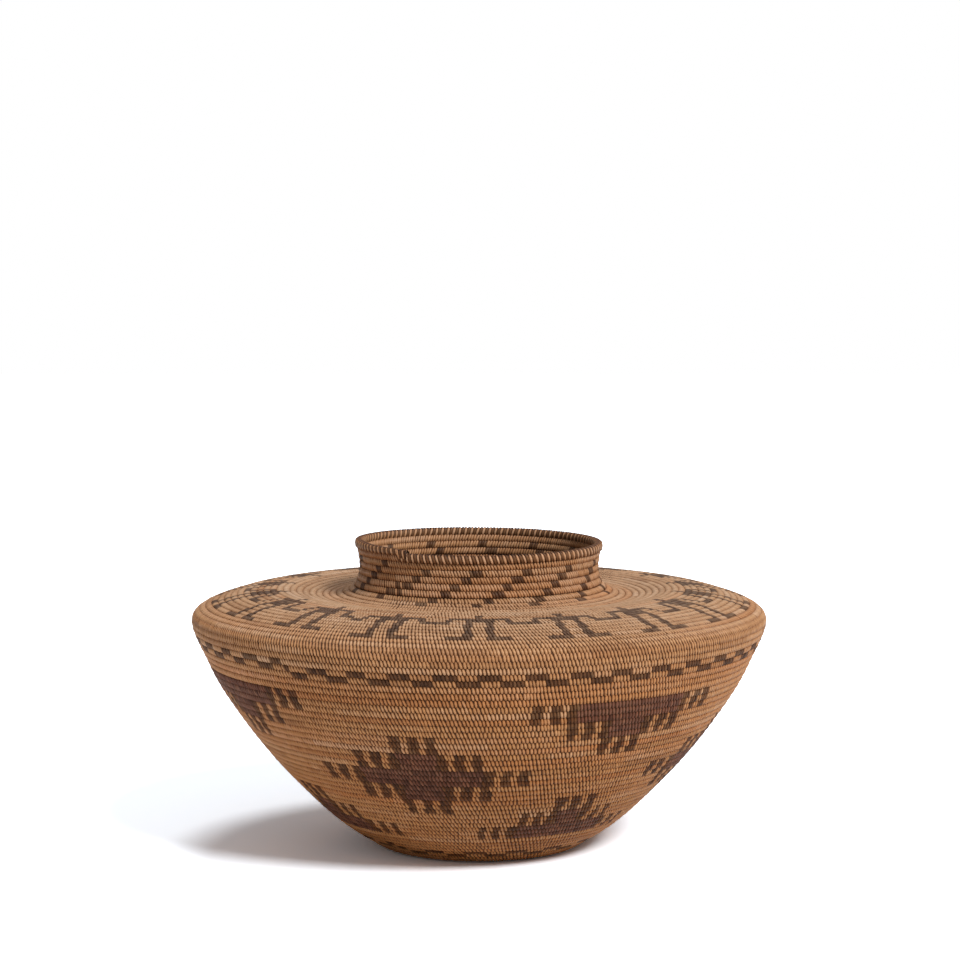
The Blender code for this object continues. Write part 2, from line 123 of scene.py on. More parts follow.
# Warmth of the sewing at lengths along the outline: 0 where it is palest and greyest, 1 where it
# has kept its own colour. The paler, greyer shoulder is partly bleached and partly painted sheen
# of the light from above
WARMTH_AND_SHEEN_LENGTHS = (0, 0.12, 0.19, 0.21, 0.235, 0.285, 0.297, 0.305, 0.33)
WARMTHS_AND_PAINTED_SHEEN = (1, 0.95, 0.85, 0.7, 0.30, 0.08, 0.15, 0.45, 0.6)
RIM_WARMTH = 0.7
BINDING_WARMTH = 0.8
BINDING_RED = 0.3

# Depth of shade between the stitches: at a stitch's ends, along its edges and in its corners
PIT_AT_ENDS = 0.52
PIT_AT_EDGES = 0.66
PIT_IN_CORNERS = 0.95
PIT_END_POWER = 4
PIT_EDGE_POWER = 2.6
PIT_CORNER_POWER = 3

# Rim: a thicker coil laid on the neck's last course, ticked with dark and light stitches. Its
# strands and those of the neck are paler than the rest
NECK_TUBE_RADIUS = 0.00150
FIT_GAP = 0.0003
RIM_RADIUS = 0.00247
RIM_END_RADIUS = 0.00180
RIM_TAPER_SHARE = 0.10
RIM_INSET = 0.0004
RIM_DARK_WIDTH = 0.00186
RIM_LIGHT_WIDTH = 0.00164
RIM_COVER_SHARE = 1.05
RIM_PALER_SHARE = 0.34
NECK_PALER_SHARE = 0.14
RIM_LEAN = 0.30
RIM_BED = 0.0006
BINDING_STITCHES = 4
BINDING_START_SHARE = 0.0135
BINDING_STEP_SHARE = 0.0040
BINDING_DROP = 0.0011
BINDING_HALF_HEIGHT = 0.0027
BINDING_HALF_THICKNESS = 0.0022
BINDING_HALF_WIDTH = 0.00075

SEDGE, BRACKEN, REDBUD = 0, 1, 2

# Most stitches in one piece, and the cells of its map: how many times as tall as wide, and
# the margin in each
MOST_STITCHES = 2600
CELL_TALLNESS = 7
CELL_MARGIN = 0.06


def hermite_points(stations, first_tangent):
    """Points along one smooth curve through the stations, without the first station."""
    spans = np.linalg.norm(np.diff(stations, axis=0), axis=1)[:, None]
    slopes = np.diff(stations, axis=0) / spans
    inner = slopes[:-1] * spans[1:] + slopes[1:] * spans[:-1]
    tangents = np.vstack([first_tangent, inner / (spans[1:] + spans[:-1]), slopes[-1]])
    t = np.linspace(0, 1, OUTLINE_STEPS + 1)[1:, None]
    points = []
    for i, span in enumerate(spans):
        a = stations[i] * (2 * t**3 - 3 * t**2 + 1)
        b = tangents[i] * span * (t**3 - 2 * t**2 + t)
        c = stations[i + 1] * (3 * t**2 - 2 * t**3)
        d = tangents[i + 1] * span * (t**3 - t**2)
        points.append(a + b + c + d)
    return np.vstack(points)


def outline_stations():
    widest = np.array((WIDEST_RADIUS, WIDEST_HEIGHT))
    base = np.array((BASE_RADIUS, 0))
    foot = np.array((NECK_FOOT_RADIUS, NECK_FOOT_HEIGHT))
    stations = [base]
    stations += [base + (widest - base) * np.array(share) for share in WALL_SHARES]
    stations.append(widest)
    stations += [widest + (foot - widest) * np.array(share) for share in SHOULDER_SHARES]
    stations.append(foot)
    neck = np.array((-NECK_FOOT_SPREAD, NECK_HEIGHT))
    stations += [foot + neck * np.array(share) for share in NECK_SHARES]
    stations.append(np.array((THROAT_RADIUS + NECK_TOP_SPREAD, NECK_FOOT_HEIGHT + NECK_HEIGHT)))
    return np.array(stations)


STATIONS = outline_stations()
OUTLINE = np.vstack([(0, 0), STATIONS[:1], hermite_points(STATIONS, np.array((1, 0)))])
LENGTHS = np.concatenate([[0], np.cumsum(np.linalg.norm(np.diff(OUTLINE, axis=0), axis=1))])
DIRECTIONS = np.vstack([OUTLINE[1:2] - OUTLINE[:1], OUTLINE[2:] - OUTLINE[:-2],
                        OUTLINE[-1:] - OUTLINE[-2:-1]])
DIRECTIONS /= np.linalg.norm(DIRECTIONS, axis=1)[:, None]
NECK_FOOT_LENGTH = LENGTHS[1 + OUTLINE_STEPS * (2 + len(WALL_SHARES) + len(SHOULDER_SHARES))]


def outline_at(length):
    """Place, direction and outward normal at lengths along the outer face, as (radius, height)."""
    along = np.stack([np.interp(length, LENGTHS, DIRECTIONS[:, k]) for k in (0, 1)], axis=-1)
    along /= np.linalg.norm(along, axis=-1)[..., None]
    spot = np.stack([np.interp(length, LENGTHS, OUTLINE[:, k]) for k in (0, 1)], axis=-1)
    beyond = np.maximum(length - LENGTHS[-1], 0)
    spot = spot + beyond[..., None] * along
    outward = np.stack([along[..., 1], -along[..., 0]], axis=-1)
    return spot, along, outward


def in_space(flat, angle):
    """Points or directions in space for (radius, height); angle 0 faces -Y, towards +X."""
    return np.stack([flat[..., 0] * np.sin(angle), -flat[..., 0] * np.cos(angle), flat[..., 1]],
                    axis=-1)


def angle_of(turn):
    return SEAM_ANGLE + 2 * np.pi * turn


def pitch_at(length):
    if length > NECK_FOOT_LENGTH:
        return NECK_PITCH
    return float(np.interp(length, (WALL_PITCH_END, SHOULDER_PITCH_START),
                           (WALL_PITCH, SHOULDER_PITCH)))


def spiral_table():
    """Turns and the length at which the lower edge of the coil lies at each."""
    step = 1 / STEPS_A_TURN
    turns = [0.0]
    edges = [NECK_FOOT_LENGTH]
    while edges[0] > SPIRAL_START:
        edges.insert(0, edges[0] - pitch_at(edges[0]) * step)
        turns.insert(0, turns[0] - step)
    while turns[-1] < NECK_COURSES + 2:
        edges.append(edges[-1] + pitch_at(edges[-1] + step) * step)
        turns.append(turns[-1] + step)
    return np.array(turns), np.array(edges)


TURNS, EDGES = spiral_table()


def coil_at(turn):
    """Middle of the coil in space, its three directions, half its height and its radius."""
    low = np.interp(turn, TURNS, EDGES)
    high = np.interp(turn + 1, TURNS, EDGES)
    spot, along, outward = outline_at((low + high) / 2)
    angle = angle_of(turn)
    centre = in_space(spot - HALF_THICKNESS * outward, angle)
    onward = np.stack([np.cos(angle), np.sin(angle), np.zeros_like(angle)], axis=-1)
    return {
        "centre": centre,
        "along": in_space(along, angle),
        "outward": in_space(outward, angle),
        "onward": onward,
        "half_height": (high - low) / 2,
        "radius": spot[..., 0],
        "length": (low + high) / 2,
    }


def stitch_turns():
    """The turn of every stitch along the coil, each drawn to the gap between two stitches of
    the course below it, as the awl makes it."""
    table = np.linspace(TURNS[0], NECK_COURSES, int((NECK_COURSES - TURNS[0]) * STEPS_A_TURN))
    widths = STITCH_WIDTH / (2 * np.pi * coil_at(table)["radius"])
    turns = [TURNS[0]]
    below = 0
    while turns[-1] < NECK_COURSES:
        place = (turns[-1] - table[0]) / (table[1] - table[0])
        low = min(int(place), len(widths) - 2)
        step = widths[low] + (widths[low + 1] - widths[low]) * (place - low)
        after = turns[-1] + step
        while below < len(turns) - 2 and turns[below + 1] + 1 < after:
            below += 1
        drawn = 0
        if turns[below] + 1 <= after:
            drawn = (turns[below] + turns[below + 1]) / 2 + 1 - after
        most = MOST_DRAWN_SHARE * step
        turns.append(after + min(most, max(-most, DRAWN_SHARE * drawn)))
    return np.array(turns)


# Patterns in stitches and courses. A course is counted up from the one that meets the neck
# foot as -1, at the angle of the motif. Widths are given in stitches, and the place of a
# stepped motif as its angle in degrees and the length of the outline at its top
WALL_DASH_COURSES = (-29, -28)
WALL_DASHES_AROUND = 42
WALL_DASH_ANGLE = math.radians(2.2)
BASE_DASH_LENGTHS = (0.0623, 0.0662)
BASE_DASHES_AROUND = 19
BASE_DASH_ANGLE = math.radians(-1.7)
TOOTH_STITCHES = 3
TOOTH_GAP_STITCHES = 2
MARGIN_STITCHES = 3
LEVEL_COURSES = 3
CORE_BODY_STITCHES = 17
WIDE_BODY_STITCHES = 41
LOWER_TOOTH_STITCHES = 2
LOWER_CORE_STITCHES = 13
LOWER_WIDE_STITCHES = 32
SIDE_TEETH = 2
CREST_TEETH = 3
MOTIFS_AROUND = 4
UPPER_MOTIFS = ((32.8, 0.1866), (121.9, 0.1866), (211.9, 0.1890), (299.0, 0.1905))
MIDDLE_MOTIFS = ((-14.5, 0.1651), (75.5, 0.1651), (165.5, 0.1651), (255.5, 0.1651))
LOWER_MOTIFS = ((29.0, 0.1215), (119.0, 0.1215), (209.0, 0.1200), (301.5, 0.1180))
BULGE_TOP_COURSE = -23
INNER_SHOULDER_COURSE = -12

# Linked figures, with courses counted up from their feet and angles in degrees from the middle
# of a figure. The tops of the chests are those of the front figure, then of the next ones
# round to both sides, and the last is that of all the others
FIGURES_AROUND = 18
FIGURE_FOOT_LENGTH = 0.2292
LEG_TOP = 5
CHEST_TOPS = (7, 7, 8, 9)
HEAD_COURSES = 2
LEG_DEGREES = (1.45, 3.2)
FOOT_DEGREES = (1.45, 6.3)
CHEST_DEGREES = 3.4
HEAD_DEGREES = 1.0
ARM_DEGREES = 6.2
HAND_DEGREES = 7.4
HAND_HALF_DEGREES = 0.8
HAND_SLANT_DEGREES = 0.5
LINK_DEGREES = (7.2, 10.1)

# Blocks on the neck, which lie a little closer together in front
NECK_BLOCKS_AROUND = 14
NECK_BLOCK_CROWDING = 0.9
NECK_BLOCK_STITCHES = 3
NECK_BLOCK_ANGLE = math.radians(-1.4)
NECK_BLOCK_TOP_COURSE = 5


def turn_share(angle):
    return (angle - SEAM_ANGLE) / (2 * math.pi) % 1


def course_at(length, angle):
    """The course that holds a length along the outline at an angle."""
    return math.floor(np.interp(length, EDGES, TURNS) - turn_share(angle))


def seen_from(turns, angle):
    """Course and sideways angle of every stitch, counted from a motif's middle."""
    share = turn_share(angle)
    aside = (turns - share + 0.5) % 1 - 0.5
    return np.round(turns - share - aside).astype(int), 2 * np.pi * aside


def teeth(aside, first, count, width=TOOTH_STITCHES):
    """A run of teeth with gaps between them, outwards from a first edge, in stitches."""
    step = width + TOOTH_GAP_STITCHES
    offset = np.abs(aside) - first
    number = np.floor(offset / step)
    return (number >= 0) & (number < count) & (offset - number * step < width)


def crest_level(aside):
    """Three teeth side by side on top of a body."""
    outer = teeth(aside, TOOTH_STITCHES / 2 + TOOTH_GAP_STITCHES, (CREST_TEETH - 1) // 2)
    return np.where(outer | (np.abs(aside) < TOOTH_STITCHES / 2), BRACKEN, SEDGE)


def body_level(aside, body_stitches, tooth_stitches=TOOTH_STITCHES):
    """A body with dark margins, and two loose teeth at each side of it."""
    half = body_stitches / 2
    colours = np.where(np.abs(aside) < half, BRACKEN, SEDGE)
    colours[np.abs(aside) < half - MARGIN_STITCHES] = REDBUD
    loose = teeth(aside, half + TOOTH_GAP_STITCHES, SIDE_TEETH, tooth_stitches)
    colours[loose] = BRACKEN
    return colours


def paint_motif(colours, stitches, angle, top_length, levels):
    """Colours one stepped motif, its levels given from the top down."""
    course, aside = seen_from(stitches["turn"], angle)
    top = course_at(top_length - WALL_PITCH / 2, angle)
    for number, level in enumerate(levels):
        highest = top - number * LEVEL_COURSES
        middle = highest - (LEVEL_COURSES - 1) / 2
        here = (course <= highest) & (course > highest - LEVEL_COURSES)
        here &= np.abs(aside) < math.pi / MOTIFS_AROUND
        radius = coil_at(np.array([middle + turn_share(angle)]))["radius"][0]
        found = level(aside[here] * radius / STITCH_WIDTH)
        kept = colours[here]
        kept[found != SEDGE] = found[found != SEDGE]
        colours[here] = kept


def core_body(aside):
    return body_level(aside, CORE_BODY_STITCHES)


def wide_body(aside):
    return body_level(aside, WIDE_BODY_STITCHES)


def lower_core_body(aside):
    return body_level(aside, LOWER_CORE_STITCHES, LOWER_TOOTH_STITCHES)


def lower_wide_body(aside):
    return body_level(aside, LOWER_WIDE_STITCHES, LOWER_TOOTH_STITCHES)


def paint_motifs(colours, stitches):
    rings = (
        (UPPER_MOTIFS, (wide_body, core_body, crest_level)),
        (MIDDLE_MOTIFS, (crest_level, core_body, wide_body, core_body, crest_level)),
        (LOWER_MOTIFS, (crest_level, lower_core_body, lower_wide_body)),
    )
    for places, levels in rings:
        for degrees, top_length in places:
            paint_motif(colours, stitches, math.radians(degrees), top_length, levels)


def paint_dashes(colours, stitches, courses, around, dark_angle):
    """Two courses of dashes, each dash of one over a space of the other."""
    blocks = (angle_of(stitches["turn"]) - dark_angle) * around / np.pi + 0.5
    for number, course in enumerate(courses):
        here = np.floor(stitches["turn"]) == course
        dark = np.floor(blocks).astype(int) % 2 == 1 - number
        colours[here & dark] = BRACKEN


def between(values, limits):
    return (values > limits[0]) & (values < limits[1])


def paint_figures(colours, stitches):
    """The chain of linked figures: feet turned out, legs, chest, head, arms, hands and links."""
    for k in range(FIGURES_AROUND):
        angle = 2 * math.pi * k / FIGURES_AROUND
        course, aside = seen_from(stitches["turn"], angle)
        height = course - course_at(FIGURE_FOOT_LENGTH, angle)
        top = CHEST_TOPS[min(k, FIGURES_AROUND - k, len(CHEST_TOPS) - 1)]
        degrees = np.abs(np.degrees(aside))
        from_hand = degrees - HAND_DEGREES + (height - LEG_TOP) * HAND_SLANT_DEGREES
        leg = (height >= 0) & (height <= LEG_TOP) & between(degrees, LEG_DEGREES)
        feet = (height == 0) & between(degrees, FOOT_DEGREES)
        chest = (height > LEG_TOP) & (height <= top) & (degrees < CHEST_DEGREES)
        head = (height > top) & (height <= top + HEAD_COURSES) & (degrees < HEAD_DEGREES)
        arm = (height == top) & (degrees < ARM_DEGREES)
        hand = (height >= LEG_TOP) & (height <= top) & (np.abs(from_hand) < HAND_HALF_DEGREES)
        link = (height == LEG_TOP) & between(degrees, LINK_DEGREES)
        colours[leg | feet | chest | head | arm | hand | link] = BRACKEN


def paint_neck(colours, stitches):
    """Dark blocks that step sideways by their own width from course to course."""
    course = np.floor(stitches["turn"])
    step = NECK_BLOCK_STITCHES * STITCH_WIDTH / THROAT_RADIUS
    angle = angle_of(stitches["turn"]) - NECK_BLOCK_ANGLE
    angle = angle - (course - NECK_BLOCK_TOP_COURSE) * step
    number = (angle * NECK_BLOCKS_AROUND + NECK_BLOCK_CROWDING * np.sin(angle)) / (2 * np.pi)
    density = NECK_BLOCKS_AROUND + NECK_BLOCK_CROWDING * np.cos(angle)
    aside = (number - np.round(number)) * 2 * np.pi / density
    here = (course >= 0) & (course <= NECK_BLOCK_TOP_COURSE) & (np.abs(aside) < step / 2)
    colours[here] = BRACKEN


def drifting(count, stitches, spread):
    """Values that drift along the sewing, with a new one every so many stitches."""
    knots = RANDOM.normal(0, spread, count // stitches + 2)
    return np.interp(np.arange(count) / stitches, np.arange(len(knots)), knots)


def strand_tones(count):
    """A tone for each stitch: the same along one root strand, and drifting from row to row."""
    tones = np.zeros(count)
    at = 0
    while at < count:
        run = int(RANDOM.integers(*RUN_STITCHES))
        tones[at:at + run] = RANDOM.normal(0, RUN_TONE_SPREAD)
        at += run
    drift = drifting(count, DRIFT_STITCHES, DRIFT_TONE_SPREAD)
    single = RANDOM.normal(0, STITCH_TONE_SPREAD, count)
    return np.clip(MIDDLE_TONE + tones + drift + single, 0, 1)


def reddish_strands(count):
    """Lengths of root that have kept a redder colour, from a few stitches to whole courses."""
    long_runs = drifting(count, RED_LONG_STITCHES, 1)
    short_runs = drifting(count, RED_SHORT_STITCHES, 1)
    return np.clip(RED_SHARE + RED_LONG_SHARE * long_runs + RED_SHORT_SHARE * short_runs, 0, 1)


def all_stitches():
    turns = stitch_turns()
    stitches = coil_at(turns)
    count = len(turns)
    stitches["turn"] = turns
    stitches["tone"] = strand_tones(count)
    stitches["red"] = reddish_strands(count)
    stitches["seed"] = RANDOM.random(count)
    stitches["half_width"] = STITCH_WIDTH / 2 * STITCH_COVER_SHARE * (
        1 + RANDOM.normal(0, WIDTH_SPREAD, count))
    stitches["half_thickness"] = HALF_THICKNESS + RANDOM.normal(0, THICKNESS_SPREAD, count)
    stitches["lean"] = np.where(turns < 0, WALL_LEAN, NECK_LEAN) + RANDOM.normal(
        0, LEAN_SPREAD, count)
    shift = RANDOM.normal(0, PLACE_SPREAD, (2, count, 1))
    stitches["centre"] = (stitches["centre"] + stitches["onward"] * shift[0]
                          + stitches["along"] * shift[1])
    stitches["half_height"] = stitches["half_height"] * COURSE_OVERLAP_SHARE
    stitches["crown"] = np.interp(stitches["length"], CROWN_LENGTHS, CROWNS)
    colours = np.full(count, SEDGE)
    base_dashes = [course_at(length, 0) for length in BASE_DASH_LENGTHS]
    paint_dashes(colours, stitches, base_dashes, BASE_DASHES_AROUND, BASE_DASH_ANGLE)
    paint_dashes(colours, stitches, WALL_DASH_COURSES, WALL_DASHES_AROUND, WALL_DASH_ANGLE)
    paint_motifs(colours, stitches)
    paint_figures(colours, stitches)
    paint_neck(colours, stitches)
    stitches["colour"] = colours
    uneven = np.where(colours == SEDGE, 0, RANDOM.normal(0, DARK_TONE_SPREAD, count))
    paler = np.where(turns < 0, 0, NECK_PALER_SHARE)
    stitches["tone"] = np.clip(stitches["tone"] + uneven + paler, 0, 1)
    return stitches


def strand_loops(stitches):
    """Points of closed loops of strand round the coil, as stitch x round x across x XYZ."""
    cos = np.cos(ROUND_ANGLES)[None, :, None, None]
    sin = np.sin(ROUND_ANGLES)[None, :, None, None]
    across = ACROSS_SHARES[None, None, :, None]

    def each(values):
        return values[:, None, None, None] if values.ndim == 1 else values[:, None, None, :]

    out = np.sign(cos) * np.abs(cos) ** SECTION_SQUARENESS * each(stitches["half_thickness"])
    up = np.sign(sin) * np.abs(sin) ** SECTION_SQUARENESS * each(stitches["half_height"])
    narrow = 1 - STITCH_NARROW_SHARE * np.abs(sin) ** 3
    side = each(stitches["half_width"]) * narrow * across - each(stitches["lean"]) * up
    sink = each(stitches["crown"]) * across**2
    return (each(stitches["centre"]) + each(stitches["outward"]) * (out - sink * cos)
            + each(stitches["along"]) * (up - sink * sin * END_SINK_SHARE)
            + each(stitches["onward"]) * side)


def new_mesh(name, points, quads):
    mesh = bpy.data.meshes.new(name)
    mesh.vertices.add(len(points))
    mesh.vertices.foreach_set("co", points.astype(np.float32).ravel())
    mesh.loops.add(quads.size)
    mesh.loops.foreach_set("vertex_index", quads.astype(np.int32).ravel())
    mesh.polygons.add(len(quads))
    mesh.polygons.foreach_set("loop_start", np.arange(0, quads.size, 4, dtype=np.int32))
    mesh.update(calc_edges=True)
    mesh.shade_smooth()
    return mesh


def add_map(mesh, name, coordinates):
    layer = mesh.uv_layers.new(name=name)
    layer.data.foreach_set("uv", coordinates.astype(np.float32).ravel())


def add_values(mesh, name, values):
    attribute = mesh.attributes.new(name, "FLOAT", "POINT")
    attribute.data.foreach_set("value", values.astype(np.float32).ravel())


def strip_quads(rows, columns):
    """Corner numbers of a closed ring of quads, rows round it and columns points across."""
    i, j = np.meshgrid(np.arange(rows), np.arange(columns - 1), indexing="ij")
    after = (i + 1) % rows
    corners = ((i, j), (i, j + 1), (after, j + 1), (after, j))
    return np.stack([a * columns + b for a, b in corners], axis=-1).reshape(-1, 4)


def sewn_piece(name, stitches, chosen, finish, nodes):
    """One piece of sewing: the chosen stitches, each a loop with its own grain and map cell."""
    part = {key: values[chosen] for key, values in stitches.items()}
    loops = strand_loops(part)
    loops[..., 2] = np.maximum(loops[..., 2], 0)
    count, rows, columns = loops.shape[:3]
    ring = strip_quads(rows, columns)
    quads = (ring[None] + (np.arange(count) * rows * columns)[:, None, None]).reshape(-1, 4)
    mesh = new_mesh(name, loops.reshape(-1, 3), quads)

    i, j = np.meshgrid(np.arange(rows), np.arange(columns - 1), indexing="ij")
    u = (ACROSS_SHARES + 1) / 2
    corner_u = np.stack([u[j], u[j + 1], u[j + 1], u[j]], axis=-1)
    corner_v = np.stack([i, i, i + 1, i + 1], axis=-1) / rows
    ring_map = np.stack([corner_u, corner_v], axis=-1).reshape(-1, 2)
    strand = np.repeat(ring_map[None], count, axis=0)
    add_map(mesh, "strand", strand)
    add_map(mesh, "OFBake", in_cells(ring_map, count))

    # The depth between neighbours, which darkens the colour as painted shade
    add_values(mesh, "pit", np.repeat(pit_depths()[None], count, axis=0))
    for key in ("tone", "red", "seed", "warmth"):
        add_values(mesh, key, np.repeat(part[key], rows * columns))
    mesh.materials.append(finish)
    return placed(name, mesh, nodes)


def pit_depths():
    """How deep each point of a stitch lies between its neighbours, round it x across it; it sets
    the painted shade between the stitches.
    """
    end = np.abs(np.sin(ROUND_ANGLES))[:, None]
    edge = np.abs(ACROSS_SHARES)[None, :]
    return np.minimum(1, PIT_AT_ENDS * end**PIT_END_POWER + PIT_AT_EDGES * edge**PIT_EDGE_POWER
                      + PIT_IN_CORNERS * end * edge**PIT_CORNER_POWER)


def in_cells(ring_map, count):
    """The ring's map set into a cell of its own for each stitch, tall cells in a square."""
    across = math.ceil(math.sqrt(count * CELL_TALLNESS))
    up = math.ceil(count / across)
    number = np.arange(count)
    low = np.stack([number % across, number // across], axis=-1)[:, None, :]
    inset = CELL_MARGIN + (1 - 2 * CELL_MARGIN) * ring_map[None]
    return (low + inset) / np.array((across, up))


def placed(name, mesh, nodes):
    made = bpy.data.objects.new(name, mesh)
    bpy.context.scene.collection.objects.link(made)
    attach(made, "root")
    if nodes:
        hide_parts(*nodes)
    return made


def sewn_pieces(name, stitches, chosen, finish, nodes):
    """The chosen stitches as one piece, or as several pieces in order along the coil."""
    numbers = np.flatnonzero(chosen)
    parts = math.ceil(len(numbers) / MOST_STITCHES)
    for k, some in enumerate(np.array_split(numbers, parts)):
        label = name if parts == 1 else f"{name}_{k + 1}"
        sewn_piece(label, stitches, some, finish, nodes)


def grass_tube(name, coil, thick, high, finish, nodes):
    """A closed tube of grass along a coil, with its half thickness and half height."""
    around = 2 * np.pi * np.arange(GRASS_SIDES) / GRASS_SIDES
    out = np.sign(np.cos(around)) * np.abs(np.cos(around)) ** SECTION_SQUARENESS
    up = np.sign(np.sin(around)) * np.abs(np.sin(around)) ** SECTION_SQUARENESS
    sideways = (thick[:, None] * out)[..., None]
    upwards = (high[:, None] * up)[..., None]
    points = (coil["centre"][:, None, :] + coil["outward"][:, None, :] * sideways
              + coil["along"][:, None, :] * upwards)
    mesh = new_mesh(name, points.reshape(-1, 3), tube_quads(len(thick), GRASS_SIDES))
    mesh.materials.append(finish)
    return placed(name, mesh, nodes)


def grass_coil(name, first_turn, last_turn, finish, nodes):
    """The bundle of grass inside the sewing, seen only through its gaps."""
    count = int((last_turn - first_turn) * STEPS_A_TURN) + 1
    coil = coil_at(np.linspace(first_turn, last_turn, count))
    thick = np.full(count, HALF_THICKNESS - GRASS_BELOW_STITCHES)
    return grass_tube(name, coil, thick, coil["half_height"] + GRASS_RISE, finish, nodes)


def rim_grass(finish):
    """The bundle of grass inside the rim."""
    coil = rim_at(np.linspace(0, 1, STEPS_A_TURN + 1))
    inner = coil["half_height"] - GRASS_BELOW_TICKS
    return grass_tube("grass_coil_rim", coil, inner, inner, finish, ("rim_coil",))


def tube_quads(rings, sides):
    """Corner numbers of a closed tube of quads, with quads over both of its ends."""
    i, j = np.meshgrid(np.arange(rings - 1), np.arange(sides), indexing="ij")
    after = (j + 1) % sides
    corners = ((i, j), (i + 1, j), (i + 1, after), (i, after))
    quads = np.stack([a * sides + b for a, b in corners], axis=-1).reshape(-1, 4)
    first = np.arange(sides)[::-1]
    last = (rings - 1) * sides + np.arange(sides)
    ends = [end[[0, k, k + 1, k + 2]] for end in (first, last) for k in range(1, sides - 2, 2)]
    return np.vstack([quads, ends])


def rim_at(share):
    """The rim coil at shares of its one turn: its middle, directions and half sizes."""
    start = NECK_FOOT_LENGTH + FIT_GAP / 2 + NECK_TUBE_RADIUS
    length = start + NECK_PITCH * (NECK_COURSES - 1 + share)
    taper = np.maximum(0, share - 1 + RIM_TAPER_SHARE) / RIM_TAPER_SHARE
    radius = RIM_RADIUS + (RIM_END_RADIUS - RIM_RADIUS) * taper
    spot, _, outward = outline_at(length)
    spot = spot - NECK_TUBE_RADIUS * outward
    rise = NECK_TUBE_RADIUS + FIT_GAP + radius - RIM_BED
    spot = spot + np.stack([np.full_like(share, RIM_INSET), rise], axis=-1)
    angle = angle_of(share)
    level = np.zeros_like(angle)
    return {
        "centre": in_space(spot, angle),
        "along": np.stack([level, level, level + 1], axis=-1),
        "outward": np.stack([np.sin(angle), -np.cos(angle), level], axis=-1),
        "onward": np.stack([np.cos(angle), np.sin(angle), level], axis=-1),
        "half_height": radius,
        "half_thickness": radius,
        "crown": np.full_like(share, STITCH_CROWN),
    }


def rim_stitches():
    """Dark and light stitches by turns round the rim."""
    pair = RIM_DARK_WIDTH + RIM_LIGHT_WIDTH
    around = 2 * math.pi * (THROAT_RADIUS + NECK_TOP_SPREAD)
    pairs = round(around / pair)
    dark = (np.arange(pairs) + RIM_DARK_WIDTH / pair / 2) / pairs
    light = (np.arange(pairs) + (RIM_DARK_WIDTH + RIM_LIGHT_WIDTH / 2) / pair) / pairs
    share = np.concatenate([dark, light])
    stitches = rim_at(share)
    count = len(share)
    is_dark = np.arange(count) < pairs
    width = np.where(is_dark, RIM_DARK_WIDTH, RIM_LIGHT_WIDTH)
    stitches["half_width"] = width / 2 * RIM_COVER_SHARE * (
        1 + RANDOM.normal(0, WIDTH_SPREAD, count))
    stitches["lean"] = RIM_LEAN + RANDOM.normal(0, LEAN_SPREAD, count)
    stitches["tone"] = strand_tones(count)
    stitches["tone"] = np.minimum(1, stitches["tone"] + RIM_PALER_SHARE)
    stitches["red"] = reddish_strands(count)
    stitches["seed"] = RANDOM.random(count)
    stitches["warmth"] = np.full(count, RIM_WARMTH)
    stitches["colour"] = np.where(is_dark, BRACKEN, SEDGE)
    return stitches


def end_binding():
    """A few stitches side by side that bind the rim's thin end to the course below it."""
    share = 1 + BINDING_START_SHARE - np.arange(BINDING_STITCHES) * BINDING_STEP_SHARE
    count = BINDING_STITCHES
    stitches = rim_at(share)
    stitches["centre"] = stitches["centre"] - np.array((0, 0, BINDING_DROP))
    stitches["half_height"] = np.full(count, BINDING_HALF_HEIGHT)
    stitches["half_thickness"] = np.full(count, BINDING_HALF_THICKNESS)
    stitches["half_width"] = np.full(count, BINDING_HALF_WIDTH)
    stitches["lean"] = RIM_LEAN + RANDOM.normal(0, LEAN_SPREAD, count)
    stitches["tone"] = RANDOM.random(count)
    stitches["red"] = np.full(count, BINDING_RED)
    stitches["seed"] = RANDOM.random(count)
    stitches["warmth"] = np.full(count, BINDING_WARMTH)
    stitches["colour"] = np.where(np.arange(count) % 2 == 0, BRACKEN, SEDGE)
    return stitches


def put(tree, kind, inputs=None, **settings):
    """A node with its settings, and each input linked or given its value."""
    made = tree.nodes.new(kind)
    for name, value in settings.items():
        setattr(made, name, value)
    for name, value in (inputs or {}).items():
        if isinstance(value, bpy.types.NodeSocket):
            tree.links.new(value, made.inputs[name])
        else:
            made.inputs[name].default_value = value
    return made


def maths(tree, operation, first, second=0.0, third=0.0, clamp=False):
    values = {0: first, 1: second, 2: third}
    made = put(tree, "ShaderNodeMath", operation=operation, use_clamp=clamp)
    for place, value in values.items():
        if isinstance(value, bpy.types.NodeSocket):
            tree.links.new(value, made.inputs[place])
        else:
            made.inputs[place].default_value = value
    return made.outputs[0]


def mixed(tree, share, first, second, blend="MIX"):
    made = put(tree, "ShaderNodeMix", data_type="RGBA", blend_type=blend, clamp_factor=True)
    for place, value in ((0, share), (6, first), (7, second)):
        if isinstance(value, bpy.types.NodeSocket):
            tree.links.new(value, made.inputs[place])
        elif place == 0:
            made.inputs[place].default_value = value
        else:
            made.inputs[place].default_value = (*value[:3], 1)
    return made.outputs[2]


def new_group(name, inputs, outputs):
    """An empty node group with named sockets: its tree, its inputs inside and its outputs."""
    tree = bpy.data.node_groups.new(name, "ShaderNodeTree")
    for label, kind, value in inputs:
        socket = tree.interface.new_socket(label, in_out="INPUT", socket_type=kind)
        if value is not None:
            socket.default_value = value
    for label, kind in outputs:
        tree.interface.new_socket(label, in_out="OUTPUT", socket_type=kind)
    entry = tree.nodes.new("NodeGroupInput")
    leave = tree.nodes.new("NodeGroupOutput")
    return tree, entry.outputs, leave.inputs


FLOAT, COLOUR, VECTOR = "NodeSocketFloat", "NodeSocketColor", "NodeSocketVector"
